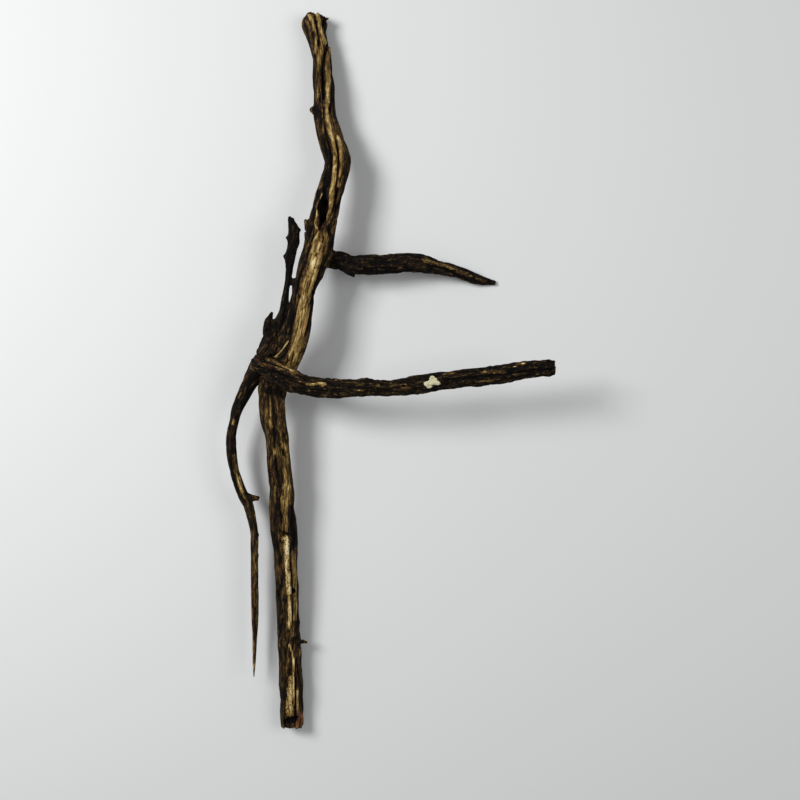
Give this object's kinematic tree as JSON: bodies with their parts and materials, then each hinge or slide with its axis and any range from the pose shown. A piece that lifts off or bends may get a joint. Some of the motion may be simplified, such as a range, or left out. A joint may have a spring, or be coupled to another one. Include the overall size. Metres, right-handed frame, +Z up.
{
  "type": "spiderwood root",
  "caption": "Bare weathered root wood with a long bent stem, side branches, a broken stub and a thin hanging root, lying on its back.",
  "frame": {"origin": "under the middle of the whole piece, on the surface it lies on", "axes": "+Y along the stem from its foot to its crown, +X to the side of the two branches, +Z up from the surface"},
  "size_m": [0.3075, 0.6944, 0.0814],
  "materials": {
    "root_wood": "bare weathered wood, dark brown in the furrows and golden on the ridges"
  },
  "bodies": {
    "root": {"spiderwood_root": "root_wood"}
  },
  "joints": []
}
